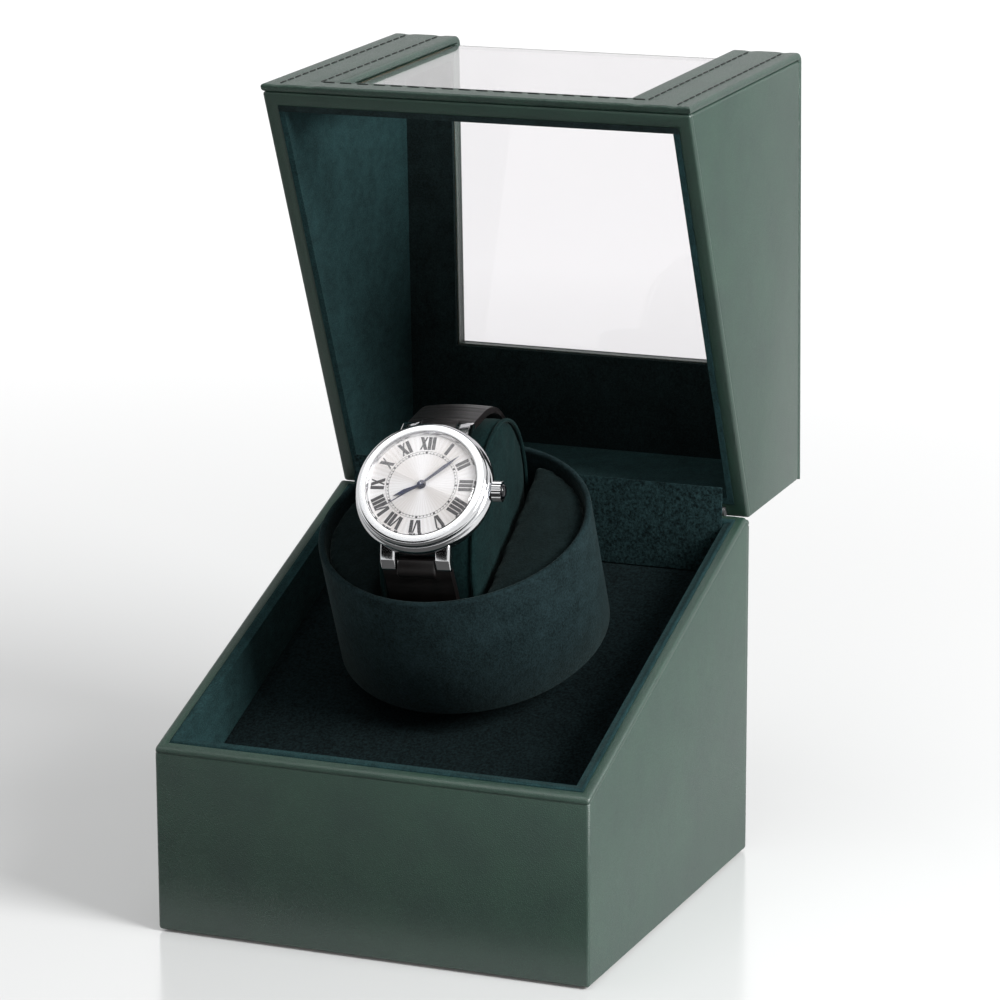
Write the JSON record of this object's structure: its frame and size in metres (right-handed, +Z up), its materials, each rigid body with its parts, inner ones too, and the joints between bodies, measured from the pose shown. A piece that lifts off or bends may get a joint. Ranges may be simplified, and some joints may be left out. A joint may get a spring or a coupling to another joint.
{
  "type": "watch winder box",
  "caption": "Slant-lidded box with a hinged windowed lid, a tilted motor-driven drum, and a cushion that carries a wristwatch.",
  "frame": {"origin": "centre of the base's flat resting face, on the surface it stands on", "axes": "+Z up, front of the box towards -Y, +X to the right seen from the front"},
  "size_m": [0.13, 0.1771, 0.2334],
  "materials": {
    "leather": "dark green fine-grained, stitched, satin",
    "board": "raw fibreboard",
    "deck": "board wrapped in dark green suede",
    "suede": "dark green suede",
    "foam": "suede over foam",
    "felt": "matt felt",
    "window": "clear bent sheet",
    "steel": "brushed",
    "hinge": "satin",
    "polished_steel": "polished",
    "plate": "mill",
    "brass": "machined",
    "motor": "zinc plated",
    "black_plastic": "fine matt",
    "cup_plastic": "moulded",
    "gear_plastic": "moulded",
    "circuit": "lacquered board",
    "lead": "smooth sheath",
    "strap": "near-black scaled leather",
    "crystal": "polished",
    "dial": "silvered, sunray",
    "blued": "blued"
  },
  "bodies": {
    "base": {"base_board": "board", "base_cover": "leather", "base_liner": "suede", "hinge_apron": "suede", "deck": "deck", "rail_left": "board", "rail_right": "board", "bottom_plate": "board", "base_felt": "felt", "plate_screw_left": "steel", "plate_screw_right": "steel", "drive_plate": "plate", "drive_screw_left": "steel", "drive_screw_right": "steel", "spindle_bush": "brass", "gearmotor": "motor", "motor_screw_left": "steel", "motor_screw_right": "steel", "rear_panel": "black_plastic", "control_board": "circuit", "dc_jack": "black_plastic", "switch_body": "black_plastic", "motor_lead": "lead", "lower_leaf_left": "hinge", "lower_leaf_right": "hinge", "hinge_pin_left": "steel", "hinge_pin_right": "steel"},
    "lid": {"lid_board": "board", "lid_cover": "leather", "window_frame": "leather", "window_pane": "window", "lid_wall_liner": "suede", "lid_frame_liner": "suede", "upper_leaf_left": "hinge", "upper_leaf_right": "hinge"},
    "drum": {"cup_floor": "cup_plastic", "cup_wall": "cup_plastic", "cup_cover": "suede", "floor_pad": "foam", "insert_left": "foam", "insert_right": "foam", "hub": "cup_plastic", "spindle": "steel", "drum_gear": "gear_plastic", "retaining_clip": "steel"},
    "pinion": {"pinion": "gear_plastic"},
    "cuff": {"cushion": "foam", "strap": "strap", "buckle": "polished_steel", "watch_case": "polished_steel", "crystal": "crystal", "dial": "dial", "movement": "brass"},
    "hour_hand": {"hour_hand": "blued"},
    "minute_hand": {"minute_hand": "blued"},
    "second_hand": {"second_hand": "blued"},
    "crown": {"crown": "polished_steel"},
    "rocker": {"rocker": "black_plastic"}
  },
  "joints": [
    {"name": "lid_hinge", "type": "hinge", "parent": "base", "child": "lid", "pos_m": [0, 0.0635, 0.10342], "axis": [-1, 0, 0], "range_deg": [-88, 0]},
    {"name": "drum_spin", "type": "hinge", "parent": "base", "child": "drum", "pos_m": [0, -0.0033, 0.1108], "axis": [0, -0.3907, 0.9205], "continuous": true},
    {"name": "pinion_spin", "type": "hinge", "parent": "base", "child": "pinion", "pos_m": [0, -0.00956, 0.04622], "axis": [0, -0.3907, 0.9205], "continuous": true},
    {"name": "cuff_lift", "type": "slide", "parent": "drum", "child": "cuff", "axis": [0, -0.3907, 0.9205], "range_m": [0, 0.045]},
    {"name": "second_spin", "type": "hinge", "parent": "cuff", "child": "second_hand", "pos_m": [0.00217, -0.0311, 0.12746], "axis": [-0.0542, 0.7809, -0.6224], "continuous": true},
    {"name": "minute_spin", "type": "hinge", "parent": "cuff", "child": "minute_hand", "pos_m": [0.00217, -0.0311, 0.12746], "axis": [-0.0542, 0.7809, -0.6224], "continuous": true},
    {"name": "hour_spin", "type": "hinge", "parent": "cuff", "child": "hour_hand", "pos_m": [0.00217, -0.0311, 0.12746], "axis": [-0.0542, 0.7809, -0.6224], "continuous": true},
    {"name": "crown_turn", "type": "hinge", "parent": "cuff", "child": "crown", "pos_m": [0.00201, -0.02875, 0.1256], "axis": [0.9936, 0.1042, 0.0442], "continuous": true},
    {"name": "rocker_tilt", "type": "hinge", "parent": "base", "child": "rocker", "pos_m": [-0.01, 0.0622, 0.022], "axis": [1, 0, 0], "range_deg": [-16, 0]}
  ],
  "couplings": [
    {"joint": "pinion_spin", "follows": "drum_spin", "ratio": -3.4286},
    {"joint": "second_spin", "follows": "minute_spin", "ratio": 60},
    {"joint": "hour_spin", "follows": "minute_spin", "ratio": 0.083333}
  ]
}
